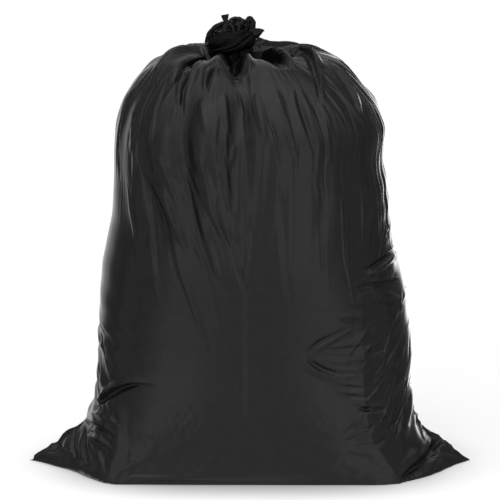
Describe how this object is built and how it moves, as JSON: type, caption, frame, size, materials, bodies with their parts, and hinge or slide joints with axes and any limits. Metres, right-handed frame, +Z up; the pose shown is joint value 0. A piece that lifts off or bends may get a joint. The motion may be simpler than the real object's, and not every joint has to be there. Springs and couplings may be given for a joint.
{
  "type": "full bin bag",
  "caption": "Full black refuse sack, gathered and knotted at the neck, with straight-sealed bottom corners that stick out as ears.",
  "frame": {"origin": "centre of the flat foot, on the floor, midway between the two ears of the bottom seal", "axes": "+Z up through the neck, +X along the bottom seal to the right-hand ear as seen from the front, -Y to the front"},
  "size_m": [0.914, 0.5402, 0.936],
  "materials": {
    "film": "black blown polyethylene film, satin to glossy, finely creased, with sharp bright edges on the pleats"
  },
  "bodies": {
    "root": {"bin_bag": "film"}
  },
  "joints": []
}
